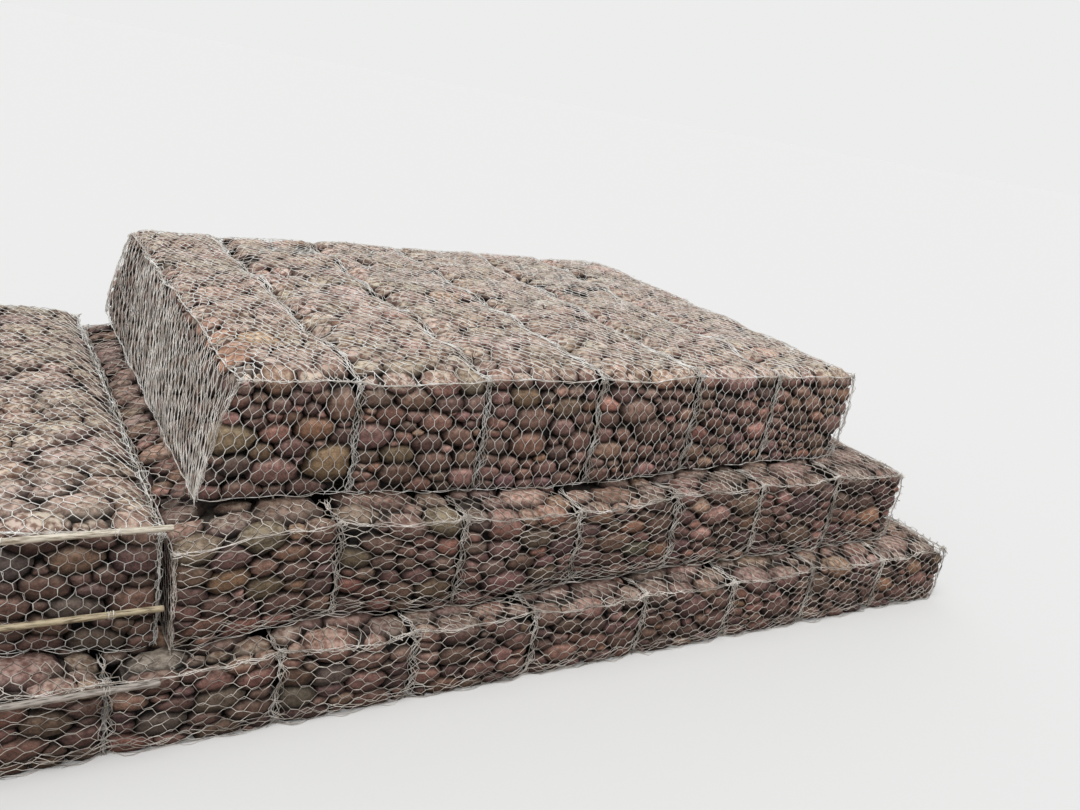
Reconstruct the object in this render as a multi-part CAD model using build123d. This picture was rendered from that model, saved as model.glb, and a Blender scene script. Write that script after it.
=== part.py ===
from build123d import *
import os

# A stepped wall of stone-filled wire mattresses: three courses, each divided into bays by
# diaphragms. X runs along the wall, Y into the bank and Z up. The origin is under the
# middle of the wall, on the plane that the base course rests on. All sizes are in mm.

os.makedirs("parts", exist_ok=True)

# Bays: the diaphragms stand one bay apart
bay_length = 1000
top_bays = 6
middle_bays = 7
wing_bays = 2
base_bays = 10
# How far each inner seam has wandered from its regular place, from the left
top_seam_wander = [-85, -50, 0, 20, -35]
middle_seam_wander = [90, 60, 100, 90, 60, 40]
base_seam_wander = [15, -50, 10, -10, 0, 60, 40, 20, 0]

# Heights of the courses, after their stones have settled
top_height = 870
middle_height = 780
wing_height = 815
base_height = 620

# Depth of the top course, and the ledges that step out in front of it
top_depth = 4700
middle_ledge = 380
wing_ledge = 300
base_ledge = 300

# Left ends: the top course leans in, and each course below steps out
end_lean_top = 50
end_lean_foot = 190
middle_end_step = 160
wing_gap = 60
base_end_step = 300

# Stones bulge between the seams, so each bay's fill has bevelled edges. Under an open lid
# they also rise above the edge wires, over a slope of this width
fill_bevel = 45
lid_crown = 55
lid_slope = 105

# Bars of the cages: the laced seams and the edge wires
seam_bar = 34
edge_bar = 26

# Double-twist mesh on the front of the first bays of the top course
mesh_bays = 2
cell_width = 90
cell_pitch = 98
twist_length = 48
mesh_wire = 5
mesh_border = 9

# Bracing poles lashed along the left front. Each lies this far below the top edge of its
# course, and ends this far past the wing's end
pole_diameter = 45
pole_end_margin = 130
upper_pole_drop = 25
middle_pole_drop = 600
lower_pole_drop = 70
upper_pole_overhang = 50
middle_pole_overhang = 15
lower_pole_overhang = -60
lashing_width = 45
lashing_wire = 7
lashings_per_pole = 3
lashing_sides = 12
# Soft clearance between the poles and the wire that lies on the face
pole_seat = 0.3

# Levels and fronts that follow from the sizes above
base_level = 0
middle_level = base_height
top_level = middle_level + middle_height
wall_top = top_level + top_height
wing_top = middle_level + wing_height
back = top_depth
top_front = 0
middle_front = top_front - middle_ledge
wing_front = top_front - wing_ledge
base_front = middle_front - base_ledge

# Left ends, measured from the regular place of the top course's first diaphragm
top_foot_x = -end_lean_foot
top_head_x = end_lean_top
middle_start = top_foot_x - middle_end_step
wing_end = middle_start - wing_gap
wing_start = wing_end - wing_bays * bay_length
base_start = wing_start - base_end_step
base_end = base_start + base_bays * bay_length

# The wall's own centre, which becomes the origin
centre_x = (base_start + base_end) / 2
front_most = base_front - pole_diameter - 2 * pole_seat - lashing_wire
centre_y = (front_most + back) / 2


def place(solid):
    """Move a solid from the first diaphragm's corner to the wall's origin."""
    return Pos(-centre_x, -centre_y, 0) * solid


def block(x0, x1, y0, y1, z0, z1):
    """A plain box between two corners."""
    return Pos((x0 + x1) / 2, (y0 + y1) / 2, (z0 + z1) / 2) * Box(x1 - x0, y1 - y0, z1 - z0)


def leaning(foot0, foot1, head0, head1, y0, y1, z0, z1):
    """A prism whose ends may lean: its outline in X and Z runs on from y0 to y1."""
    outline = Plane.XZ * Polygon((foot0, z0), (foot1, z0), (head1, z1), (head0, z1), align=None)
    return Pos(0, y1, 0) * extrude(outline, y1 - y0)


class Course:
    """One course of bays: where its diaphragms stand, at the foot and at the head."""

    def __init__(self, name, feet, heads, front, level, height, open_lid=False):
        self.name = name
        self.open_lid = open_lid
        self.feet = feet
        self.heads = heads
        self.front = front
        self.level = level
        self.top = level + height

    def fills(self):
        """The stones of each bay, as one solid with bevelled edges."""
        solids = []
        for left in range(len(self.feet) - 1):
            right = left + 1
            stones = leaning(self.feet[left], self.feet[right], self.heads[left],
                             self.heads[right], self.front, back, self.level, self.top)
            stones = chamfer(stones.edges(), fill_bevel)
            solids.append(self.crowned(stones) if self.open_lid else stones)
        return solids

    def crowned(self, stones):
        """Adds the low hump of stones that stands above the edge wires."""
        lid = stones.faces().sort_by(Axis.Z)[-1]
        summit = Pos(0, 0, lid_crown) * offset(lid, -lid_slope, kind=Kind.INTERSECTION)
        return stones + loft([lid, summit.face()], ruled=True)

    def cage(self, fills):
        """The edge wires and laced seams, fused where they meet and seated on the stones."""
        last = len(self.feet) - 1
        bars = []
        for number, (foot, head) in enumerate(zip(self.feet, self.heads)):
            outer = number in (0, last)
            size = edge_bar if outer else seam_bar
            # The bar starts at the outer side of an end, and is centred on an inner seam
            shift = {0: 0, last: -size}.get(number, -size / 2)
            bars += self.ring(foot + shift, head + shift, size)
        for y in (self.front, back - edge_bar):
            bars.append(block(self.feet[0], self.feet[-1], y, y + edge_bar,
                              self.level, self.level + edge_bar))
            bars.append(block(self.heads[0], self.heads[-1], y, y + edge_bar,
                              self.top - edge_bar, self.top))
        cage = bars[0].fuse(*bars[1:])
        return cage.cut(*fills)

    def ring(self, foot, head, size):
        """Four bars round the wall at one seam."""
        uprights = [leaning(foot, foot + size, head, head + size, y, y + size,
                            self.level, self.top) for y in (self.front, back - size)]
        lengths = [block(foot, foot + size, self.front, back, self.level, self.level + size),
                   block(head, head + size, self.front, back, self.top - size, self.top)]
        return uprights + lengths


def seams(start, bays, wander=()):
    """Diaphragm places along the wall: inner ones may have wandered a little."""
    places = [start + number * bay_length for number in range(bays + 1)]
    for number, shift in enumerate(wander[:bays - 1], start=1):
        places[number] += shift
    return places


def hexagonal_cell():
    """One opening of the mesh: two upright twists joined by four slanting wires."""
    half = cell_width / 2
    side = twist_length / 2
    tip = cell_pitch - side
    outline = Polygon((half, -side), (half, side), (0, tip), (-half, side), (-half, -side),
                      (0, -tip), align=None)
    return offset(outline, -mesh_wire / 2, kind=Kind.INTERSECTION)


def mesh_panel(foot0, foot1, head0, head1, z0, z1):
    """A panel of hexagonal mesh in one plane, with a straight wire round its edge."""
    outline = Polygon((foot0, z0), (foot1, z0), (head1, z1), (head0, z1), align=None)
    inside = offset(outline, -mesh_border, kind=Kind.INTERSECTION)
    left = min(foot0, head0)
    columns = int((foot1 - left) / cell_width) + 1
    rows = int((z1 - z0) / cell_pitch) + 1
    cell = hexagonal_cell()
    openings = []
    for row in range(rows + 1):
        stagger = cell_width / 2 * (row % 2)
        for column in range(-1, columns + 1):
            opening = Pos(foot1 - column * cell_width - stagger, z0 + row * cell_pitch) * cell
            openings.append(opening & inside)
    panel = outline - [opening for opening in openings if opening]
    return Pos(0, top_front, 0) * (Plane.XZ * extrude(panel, mesh_wire))


def pole(x0, x1, front, z):
    """A round bracing pole that lies along a front face."""
    radius = pole_diameter / 2
    y = front - radius - pole_seat
    return Pos(x0, y, z) * Rot(0, 90, 0) * Cylinder(radius, x1 - x0, align=(Align.CENTER,
                                                                        Align.CENTER, Align.MIN))


def strap_outline(half, reach):
    """A half round that runs back to the face in straight legs, half high and reach deep."""
    turn = RegularPolygon(half, lashing_sides, major_radius=False, rotation=180 / lashing_sides)
    behind_middle = Pos(half, 0) * Rectangle(2 * half, 3 * half)
    legs = Pos(reach / 2, 0) * Rectangle(reach, 2 * half)
    return (turn - behind_middle) + legs


def lashing(x, front, z):
    """A wire lashing that goes round a pole, with both legs standing on the face behind it."""
    inner = pole_diameter / 2 + pole_seat
    band = strap_outline(inner + lashing_wire, inner) - strap_outline(inner, inner)
    # The outline's own X axis points into the wall
    side = Plane((x - lashing_width / 2, front - inner, z), x_dir=(0, 1, 0), z_dir=(1, 0, 0))
    return extrude(side * band, lashing_width)


upright_seams = seams(0, top_bays, top_seam_wander)[1:]
top = Course("top", [top_foot_x] + upright_seams, [top_head_x] + upright_seams,
             top_front, top_level, top_height, open_lid=True)
middle_places = seams(middle_start, middle_bays, middle_seam_wander)
middle = Course("middle", middle_places, middle_places, middle_front, middle_level,
                middle_height)
wing_places = seams(wing_start, wing_bays)
wing = Course("wing", wing_places, wing_places, wing_front, middle_level, wing_height,
              open_lid=True)
base_places = seams(base_start, base_bays, base_seam_wander)
base = Course("base", base_places, base_places, base_front, base_level, base_height)

nodes = {}
for course in (top, middle, wing, base):
    fills = course.fills()
    for number, fill in enumerate(fills, start=1):
        nodes[f"{course.name}_stone_fill_{number}"] = fill
    nodes[f"{course.name}_cage_wires"] = course.cage(fills)

for number in range(min(mesh_bays, top_bays)):
    nodes[f"top_front_mesh_{number + 1}"] = mesh_panel(
        top.feet[number], top.feet[number + 1], top.heads[number], top.heads[number + 1],
        top_level, wall_top)

# Each pole: its name, the face it lies on, the height of its middle and its overhang
poles = [("upper", wing_front, wing_top - upper_pole_drop, upper_pole_overhang),
         ("middle", wing_front, wing_top - middle_pole_drop, middle_pole_overhang),
         ("lower", base_front, middle_level - lower_pole_drop, lower_pole_overhang)]
pole_start = wing_start + pole_end_margin
for name, front, z, overhang in poles:
    pole_end = wing_end + overhang
    nodes[f"bracing_pole_{name}"] = pole(pole_start, pole_end, front, z)
    span = (pole_end - pole_start) / lashings_per_pole
    places = [pole_start + (turn + 0.5) * span for turn in range(lashings_per_pole)]
    nodes[f"pole_lashings_{name}"] = Compound([lashing(x, front, z) for x in places])

for name, solid in nodes.items():
    export_step(place(solid), f"parts/{name}.step")
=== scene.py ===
from dataclasses import dataclass
import bmesh
import bpy
import numpy as np
from mathutils import Matrix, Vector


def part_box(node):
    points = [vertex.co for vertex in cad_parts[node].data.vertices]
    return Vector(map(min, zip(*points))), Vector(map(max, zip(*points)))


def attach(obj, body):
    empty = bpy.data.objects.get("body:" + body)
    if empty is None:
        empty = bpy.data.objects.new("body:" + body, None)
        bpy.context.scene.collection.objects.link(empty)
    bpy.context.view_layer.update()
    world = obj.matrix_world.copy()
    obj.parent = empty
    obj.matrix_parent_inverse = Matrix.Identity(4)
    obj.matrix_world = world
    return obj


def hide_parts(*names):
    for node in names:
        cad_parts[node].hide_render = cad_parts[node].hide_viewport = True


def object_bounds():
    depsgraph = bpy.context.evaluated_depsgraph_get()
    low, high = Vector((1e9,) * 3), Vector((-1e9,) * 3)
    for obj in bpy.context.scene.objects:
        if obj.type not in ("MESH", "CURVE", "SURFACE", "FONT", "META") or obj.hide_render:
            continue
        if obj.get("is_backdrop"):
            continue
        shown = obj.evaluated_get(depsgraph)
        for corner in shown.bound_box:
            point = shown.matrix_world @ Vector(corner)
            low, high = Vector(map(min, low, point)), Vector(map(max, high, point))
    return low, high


# A stepped wall of stone-filled wire mattresses. Each course starts as a neat box of bays.
# Cobbles are packed one deep behind every open side of the box, nets are laid over it, and
# one function then settles stones and wires together, so that they stay on each other.

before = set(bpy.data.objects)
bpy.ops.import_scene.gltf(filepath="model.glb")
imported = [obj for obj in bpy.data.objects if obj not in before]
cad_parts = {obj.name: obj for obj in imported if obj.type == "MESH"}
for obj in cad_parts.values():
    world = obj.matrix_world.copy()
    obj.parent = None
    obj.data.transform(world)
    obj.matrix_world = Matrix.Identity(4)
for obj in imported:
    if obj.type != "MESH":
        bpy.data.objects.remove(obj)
cad_low, cad_high = (np.array(corner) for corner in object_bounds())
X, Y, Z = np.eye(3)

# Further away than any part of the wall
FAR = 99.0

# Cobbles: the size along X, Y and Z of a cobble that lies flat, as a share of its width
COBBLE_SHAPE = np.array([1.0, 0.80, 0.60])
# Spread of the widths, as a logarithm. Cobbles that face up are picked wider.
WIDTH_SPREAD = 0.36
LID_WIDER = 1.30
# Radii above which cobbles press into the net, lie lengthwise, and are never set back from it
PRESSING_RADIUS, LONG_RADIUS, BOULDER_RADIUS = 0.065, 0.13, 0.15
# Cobbles lie up to this far behind the net
SET_BACK = 0.024
# Rounds in which the cobbles push one another apart, and neighbours that shape a cobble
ROUNDS, NEIGHBOURS = 80, 20
# Neighbours overlap by this share, so that no slits open between them
OVERLAP = 0.03
# A cobble's own ellipsoid is this many times as wide as its room, so that its neighbours
# press flat sides into it
OWN_SIZE = 1.26
# The higher, the flatter the sides where cobbles press against one another
COBBLE_FLATNESS = 9.0
# The stones stay this far inside the mesh that holds them
MESH_ROOM = 0.012
# The lowest stones would reach this far below the box, and are flat this far above its floor
SINK, RESTING = 0.035, 0.003
# The core, painted dark as the shade among the deeper stones, lies this deep behind the sides,
# and under the lid
CORE_DEPTH, CORE_UNDER_LID = 0.09, 0.075
# Spacing of its points, height of its lumps, and its share of the lid's silt
CORE_STEP, CORE_LUMPS, CORE_SILT = 0.25, 0.014, 0.15
# Painted shade in the gaps begins at the first of these depths and is darkest from the second
# on, where it takes these shares of the stones' colour and of their silt
CREVICE_START, CREVICE_DEPTH = 0.006, 0.062
PAINTED_GAP_SHADE, PAINTED_GAP_SHADE_ON_SILT = 0.95, 0.88
# The row of cobbles along an edge is this wide
CORNER_ROW = 0.13
# Fronts of bays that begin to the left of this X have the most detailed cobbles
NEAR_END = 1.0
# The loose wires over the left end of the top course shade its cobbles: painted shade leaves
# them this share of their colour
CURTAIN_PAINTED_SHADE = 0.36

# Shares of the lid's silt that the sides and the boulders hold. On the sides the share is set
# high, so the pale silt on the cobbles' upper faces is partly real silt and partly a painted
# highlight
SIDE_SILT, BOULDER_SILT = 0.28, 0.42
# The silt fades from the first depth below the lid over the second
SILT_START, SILT_FADE = 0.03, 0.05

# Double-twist mesh: width and row spacing of a cell, and length of a twist
CELL = (0.090, 0.091)
TWIST = 0.044
# Cells of the nets that are pulled wide or drawn narrow
WING_CELL = (0.092, 0.070)
MIDDLE_CELL = (0.078, 0.090)
BASE_CELL = (0.090, 0.088)
CURTAIN_CELL = (0.135, 0.105)
# The two wires of a twist lie this far from its middle line
TWIST_OFFSET = 0.0022
# Radii of the mesh wires, of the thicker wires along the edges, and of the lacing wires
MESH_WIRE, EDGE_WIRE, LACING_WIRE = 0.0027, 0.0034, 0.0025
# The wires of the lids are drawn thicker than the real ones, so that they show
LID_WIRE = 0.0034
# Loose wires have points this far apart, and stray in waves about this long
STRAND_STEP, STRAND_WAVE = 0.05, 0.35
# Knots of wire ends are this large
KNOT = 0.035
# How deep nets, lacing and knots lie inside the sides of the neat box
NET_DEPTH, LACING_DEPTH, KNOT_DEPTH = 0.006, 0.008, 0.010
# The nets over the left end are drawn this far towards its front foot
GATHER = 0.85

# Bays of the top course, and their length
TOP_BAYS, BAY = 6, 1.0
# Its first diaphragm leans in by this much from foot to head
END_LEAN = 0.24

# Movements of the sides as the stones settle: in at the seams, in along the top and bottom
# edges, and in shallow dents
SEAM_PINCH, EDGE_DRAW, DENT = 0.034, 0.024, 0.010
# How far those reach from a seam, behind the front and back, and behind the ends
PINCH_REACH, SIDE_REACH, END_REACH = 0.075, 0.22, 0.20
# How far the lid's falls reach from an edge, from a seam, and behind a sagging front, and how
# far behind its front a firm edge reaches
EDGE_REACH, TROUGH_REACH, SAG_REACH, FIRM_REACH = 0.10, 0.080, 0.40, 0.20
# How far the slumps reach from the left and the right end
SLUMP_REACH = (0.40, 0.22)
# The lid is uneven by about this much, in waves about this long
UNEVEN, UNEVEN_WAVE = 0.012, 0.6
# The lid's falls fade over this depth, and in this lowest share of the height
FALL_FADE, STILL_FOOT = 0.32, 0.25


def hex_linear(code):
    """The linear colour of an sRGB hex value."""
    channels = [int(code[i:i + 2], 16) / 255 for i in (1, 3, 5)]
    return [c / 12.92 if c <= 0.04045 else ((c + 0.055) / 1.055) ** 2.4 for c in channels]


def node_box(name):
    """Lowest and highest corner of a CAD node, as arrays."""
    low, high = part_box(name)
    return np.array(low), np.array(high)


def bell(distance, width):
    """One at no distance, falling off as the exponential of minus its square."""
    return np.exp(-(distance / width) ** 2)


def smooth_noise(points, scale, seed, waves=5):
    """Three smooth offsets a point, each a mean of sine waves about scale long, mostly
    between -1 and 1."""
    source = np.random.default_rng(seed)
    total = np.zeros(points.shape)
    for axis in range(3):
        ways = source.normal(size=(waves, 3))
        ways /= np.linalg.norm(ways, axis=1, keepdims=True)
        lengths = scale * source.uniform(0.6, 1.6, waves)
        phases = source.uniform(0, 2 * np.pi, waves)
        angle = points @ (ways / lengths[:, None]).T * 2 * np.pi + phases
        total[..., axis] = np.sin(angle).mean(axis=-1) * 1.6
    return total


def drift(count, distances, scale, source, waves=4):
    """Smooth random values along each of some wires, mostly between -1 and 1: a mean of
    sine waves about scale long."""
    lengths = scale * source.uniform(0.5, 1.8, (count, waves, 1))
    phases = source.uniform(0, 2 * np.pi, (count, waves, 1))
    return np.sin(distances / lengths * 2 * np.pi + phases).mean(axis=1) * 1.5


# The regular place of the top course's first diaphragm
FIRST = node_box("top_cage_wires")[1][0] - TOP_BAYS * BAY
# Dips of the joints between the courses: place from the first diaphragm, reach and depth
UNDER_TOP = [(2.6, 1.5, 0.095)]
UNDER_WALL = [(-0.40, 0.60, 0.115), (1.8, 0.8, 0.085)]


def sunk(x, dips):
    """How far a joint has sunk at x: a sum of bell curves."""
    return sum((depth * bell(x - FIRST - place, reach) for place, reach, depth in dips), 0 * x)


@dataclass(eq=False)
class Course:
    """One block of bays, as its CAD nodes give it, and how its stones and mesh have settled.

    The neat box runs from low to high, where high is the top of the stones. The edge wires
    settle below it by the crown. Troughs are shares of the crown at the seams, sags belong to
    the bays and slumps to the two ends. Loose is how far the nets stray. The end draw is the
    share by which each end draws in, and a firm edge doesn't follow the dips above it. The
    cobbles have a mean width, a brightness and a cover of silt."""

    name: str
    bays: int
    width: float
    level: float
    silt: float
    lean: float = 0.0
    crown: float = 0.03
    troughs: tuple = ()
    sags: tuple = ()
    loose: float = 0.01
    slumps: tuple = (0.0, 0.0)
    hollows: tuple = ()
    foot_dips: tuple = ()
    head_dips: tuple = ()
    end_draw: tuple = (1.0, 1.0)
    firm_edge: bool = False

    def __post_init__(self):
        fills = [node_box(f"{self.name}_stone_fill_{n + 1}") for n in range(self.bays)]
        self.low, cage_high = node_box(f"{self.name}_cage_wires")
        self.high = np.array([cage_high[0], cage_high[1], fills[0][1][2]])
        self.edge_level = cage_high[2]
        self.seams = np.array([self.low[0]] + [low[0] for low, _ in fills[1:]] + [self.high[0]])
        self.troughs = np.append(self.troughs, np.ones(self.bays + 1 - len(self.troughs)))
        self.sags = np.append(self.sags, np.zeros(self.bays - len(self.sags)))

    def bay_box(self, number):
        """The neat box of one bay."""
        low, high = self.low.copy(), self.high.copy()
        low[0], high[0] = self.seams[number], self.seams[number + 1]
        return low, high

    def settle(self, points):
        """Moves points of the neat box to where the stones have settled.

        The sides draw in by a bell curve at the seams, by the fourth power of the height from
        half-way, and in dents. The lid falls by the crown times a bell curve of the distance
        to its edges and seams, a sagging front by a parabola between its seams, and slumped
        ends and hollows by bell curves. The falls fade with depth, and there are none at the
        foot. Points sink by a share of the joints' dips below and above. The left end leans
        in, in proportion to height."""
        x, y, z = points[..., 0], points[..., 1], points[..., 2]
        number = np.clip(np.searchsorted(self.seams, x) - 1, 0, self.bays - 1)
        start, end = self.seams[number], self.seams[number + 1]
        across = np.clip((x - start) / (end - start), 0, 1)
        seam = np.where(across < 0.5, number, number + 1)
        to_seam = np.abs(x - self.seams[seam])
        front, behind = y - self.low[1], self.high[1] - y
        from_left, from_right = x - self.low[0], self.high[0] - x
        to_edge = np.minimum(np.minimum(front, behind), np.minimum(from_left, from_right))
        rise = np.clip((z - self.low[2]) / (self.high[2] - self.low[2]), 0, 1)
        drop = self.high[2] - z
        uneven = smooth_noise(points, UNEVEN_WAVE, 3)
        ends = EDGE_DRAW * (2 * rise - 1) ** 4
        new = points.copy()
        draw = SEAM_PINCH * bell(to_seam, PINCH_REACH) + ends + DENT * (1 + uneven[..., 1])
        new[..., 1] += draw * np.exp(-front / SIDE_REACH) - draw * np.exp(-behind / SIDE_REACH)
        draw = ends + DENT * (1 + uneven[..., 0])
        new[..., 0] += draw * (self.end_draw[0] * np.exp(-from_left / END_REACH) -
                               self.end_draw[1] * np.exp(-from_right / END_REACH))
        rough = uneven[..., 2]
        trough = self.troughs[seam] * bell(to_seam, TROUGH_REACH) * (0.85 + 0.6 * rough)
        hollow = np.maximum(bell(to_edge, EDGE_REACH) * (1.1 + 0.25 * rough), trough)
        fall = self.crown * hollow + UNEVEN * (1 + rough)
        sag = self.sags[number] * (1 - (2 * across - 1) ** 2)
        fall += sag * np.exp(-np.maximum(front, 0) / SAG_REACH)
        fall += self.slumps[0] * bell(from_left, SLUMP_REACH[0])
        fall += self.slumps[1] * bell(from_right, SLUMP_REACH[1])
        for along, back, reach, depth in self.hollows:
            fall += depth * bell(np.hypot(from_left - along, front - back), reach)
        new[..., 2] -= fall * np.exp(-drop / FALL_FADE) * np.clip(rise / STILL_FOOT, 0, 1)
        head = 1 - np.exp(-np.maximum(front, 0) / FIRM_REACH) if self.firm_edge else 1.0
        new[..., 2] -= (1 - rise) * sunk(x, self.foot_dips) + rise * head * sunk(x, self.head_dips)
        first = np.clip((self.seams[1] - x) / (self.seams[1] - self.seams[0]), 0, 1)
        new[..., 0] += self.lean * rise * first
        return new


# Hollows of the top lid, each by its distance from the left foot and from the front, its
# reach and its depth: one at the first seam, three that make a slit behind it, and two pits
LID_HOLLOWS = [(1.13, 1.20, 0.16, 0.10), (1.16, 3.10, 0.13, 0.09), (1.39, 2.97, 0.13, 0.10),
               (1.64, 2.74, 0.12, 0.08), (2.44, 3.62, 0.10, 0.07), (2.07, 2.35, 0.10, 0.07)]
top = Course("top", TOP_BAYS, width=0.194, level=1.09, silt=1.0, lean=END_LEAN, crown=0.062,
             loose=0.018, troughs=(1.0, 1.15, 0.9, 0.8, 0.9, 0.9),
             sags=(0.0, 0.012, 0.02, 0.015, 0.02, 0.02), hollows=LID_HOLLOWS,
             foot_dips=UNDER_TOP)
middle = Course("middle", 7, width=0.210, level=0.82, silt=0.38, loose=0.036,
                sags=(0.03, 0.015, 0.02, 0.03, 0.03, 0.02, 0.02), slumps=(0.12, 0.03),
                foot_dips=UNDER_WALL, head_dips=UNDER_TOP, end_draw=(0.1, 1.0))
wing = Course("wing", 2, width=0.210, level=0.71, silt=0.99, crown=0.058, loose=0.018,
              slumps=(0.0, 0.06), foot_dips=UNDER_WALL, end_draw=(1.0, 0.1))
base = Course("base", 10, width=0.200, level=0.78, silt=0.38, loose=0.040,
              sags=(0.02, 0.01, 0.03, 0.03, 0.02, 0.03, 0.02, 0.02, 0.02),
              head_dips=UNDER_WALL, firm_edge=True)

# Where the tops of the courses show: the whole top, or the ledges round what stands on it,
# each from its low corner to its high corner. The stones run on a little way under the
# course above.
UNDER = 0.12
whole = [(-FAR, -FAR, FAR, FAR)]
middle_ledges = [(-FAR, -FAR, FAR, top.low[1] + UNDER),
                 (-FAR, top.low[1] + UNDER, top.low[0] + UNDER, FAR),
                 (top.high[0] - UNDER, top.low[1] + UNDER, FAR, FAR)]
base_ledges = [(-FAR, -FAR, wing.high[0], wing.low[1] + UNDER),
               (wing.high[0], -FAR, FAR, middle.low[1] + UNDER),
               (-FAR, wing.low[1] + UNDER, wing.low[0] + UNDER, FAR),
               (middle.high[0] - UNDER, middle.low[1] + UNDER, FAR, FAR),
               (wing.high[0] - UNDER, wing.low[1] + UNDER, middle.low[0] + UNDER, FAR)]


def spiral_ball(count):
    """Points of a golden spiral on a ball, and the triangles of their convex hull.

    Point k is 1 - (2 k + 1) / count high and is turned by k golden angles."""
    step = np.arange(count)
    height = 1 - (2 * step + 1) / count
    turn = step * np.pi * (3 - np.sqrt(5))
    ring = np.sqrt(1 - height ** 2)
    points = np.stack([ring * np.cos(turn), ring * np.sin(turn), height], axis=1)
    mesh = bpy.data.meshes.new("spiral")
    mesh.from_pydata(points.tolist(), [], [])
    ball = bmesh.new()
    ball.from_mesh(mesh)
    bmesh.ops.convex_hull(ball, input=ball.verts)
    bmesh.ops.recalc_face_normals(ball, faces=ball.faces)
    ball.verts.index_update()
    points = np.array([vert.co[:] for vert in ball.verts])
    triangles = np.array([[vert.index for vert in face.verts] for face in ball.faces])
    ball.free()
    bpy.data.meshes.remove(mesh)
    return points, triangles


# Cobbles of the near fronts, of the other fronts and the lids, and of the backs and ends
FINE, MEDIUM, COARSE = 0, 1, 2
BALLS = [spiral_ball(66), spiral_ball(42), spiral_ball(32)]


def add_object(name, data):
    """A new object in the scene, at the world's origin."""
    thing = bpy.data.objects.new(name, data)
    bpy.context.scene.collection.objects.link(thing)
    return thing


def add_piece(name, points, faces, material, nodes):
    """A smooth piece of the wall, from arrays of points and triangles, in its nodes' place."""
    mesh = bpy.data.meshes.new(name)
    mesh.from_pydata(points.tolist(), [], faces.tolist())
    mesh.shade_smooth()
    mesh.validate()
    mesh.materials.append(material)
    piece = add_object(name, mesh)
    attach(piece, "root")
    if nodes:
        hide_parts(*nodes)
    return piece


@dataclass(eq=False)
class Patch:
    """An open side of a bay: its axis, its side, its corners, how fine its cobbles are and
    how much of their colour the painted shade of the net over it leaves."""

    axis: int
    side: int
    low: np.ndarray
    high: np.ndarray
    detail: int
    light: float = 1.0


# Axes across the ends, across the front and back, and across the lid
ENDS, FRONT, LID = 0, 1, 2
# Boulders that stand out, by course and bay: on the front or the lid, share across the bay,
# share up the front or back over the lid, width and colour
BOULDERS = {
    ("top", 0): [
        (FRONT, 0.80, 0.37, 0.56, "#a88c6c"), (FRONT, 0.13, 0.57, 0.44, "#8b775d"),
        (LID, 0.32, 0.022, 0.34, "#8e6d59"), (LID, 0.62, 0.02, 0.28, "#8a6b5c"),
        (LID, 0.02, 0.105, 0.30, "#a3735a"), (LID, 0.02, 0.155, 0.31, "#a0745e"),
        (LID, 0.02, 0.205, 0.29, "#a37159"), (LID, 0.02, 0.255, 0.30, "#96705f")],
    ("top", 1): [
        (FRONT, 0.30, 0.30, 0.28, "#7a674f"), (LID, 0.75, 0.022, 0.34, "#8b7c68"),
        (FRONT, 0.78, 0.34, 0.26, "#7b6050"), (LID, 0.28, 0.03, 0.30, "#8f7f6b")],
    ("top", 2): [(FRONT, 0.35, 0.62, 0.28, "#80674f"), (FRONT, 0.75, 0.70, 0.30, "#7a6351")],
    ("top", 3): [(FRONT, 0.30, 0.72, 0.26, "#795a55")],
    ("top", 4): [(FRONT, 0.42, 0.45, 0.26, "#7a5f51")],
    ("middle", 0): [
        (FRONT, 0.25, 0.60, 0.32, "#99775a"), (FRONT, 0.55, 0.68, 0.32, "#776953"),
        (FRONT, 0.60, 0.44, 0.30, "#7d6a50"), (FRONT, 0.16, 0.14, 0.30, "#7d5a4c"),
        (LID, 0.70, 0.04, 0.50, "#80675a"), (LID, 0.28, 0.035, 0.34, "#85735e")],
    ("middle", 1): [
        (LID, 0.25, 0.03, 0.38, "#85715f"), (LID, 0.72, 0.03, 0.40, "#7f6f58"),
        (FRONT, 0.72, 0.35, 0.30, "#77614c"), (FRONT, 0.25, 0.72, 0.28, "#7b6a54")],
    ("middle", 2): [(FRONT, 0.45, 0.75, 0.34, "#7c6858"), (FRONT, 0.60, 0.40, 0.28, "#75604e")],
    ("middle", 3): [(LID, 0.40, 0.03, 0.42, "#8a6957"), (FRONT, 0.62, 0.40, 0.28, "#6b6550")],
    ("wing", 1): [
        (LID, 0.45, 0.03, 0.44, "#c4a898"), (LID, 0.80, 0.02, 0.34, "#b89686"),
        (LID, 0.16, 0.02, 0.36, "#bda294"), (FRONT, 0.55, 0.42, 0.36, "#75655c"),
        (FRONT, 0.30, 0.20, 0.40, "#776456"), (FRONT, 0.20, 0.70, 0.36, "#6c5d58")],
    ("base", 2): [
        (FRONT, 0.60, 0.60, 0.34, "#7e6c5c"), (FRONT, 0.25, 0.30, 0.34, "#74645a"),
        (LID, 0.90, 0.07, 0.36, "#94897c")],
    ("base", 3): [(FRONT, 0.25, 0.25, 0.34, "#776b5b"), (FRONT, 0.45, 0.70, 0.30, "#74625a")],
    ("base", 4): [(FRONT, 0.28, 0.60, 0.30, "#795e50")]}


def boulders(course, number, patches):
    """Centres, widths and colours of a bay's boulders, as a list for each patch."""
    low, high = course.bay_box(number)
    found = [[] for _ in patches]
    for axis, across, along, width, colour in BOULDERS.get((course.name, number), []):
        share = np.array([across, 0, along] if axis == FRONT else [across, along, 1])
        side = -1 if axis == FRONT else 1
        index = next(i for i, p in enumerate(patches) if p.axis == axis and p.side == side)
        found[index].append((low + share * (high - low), width, colour))
    return found


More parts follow.
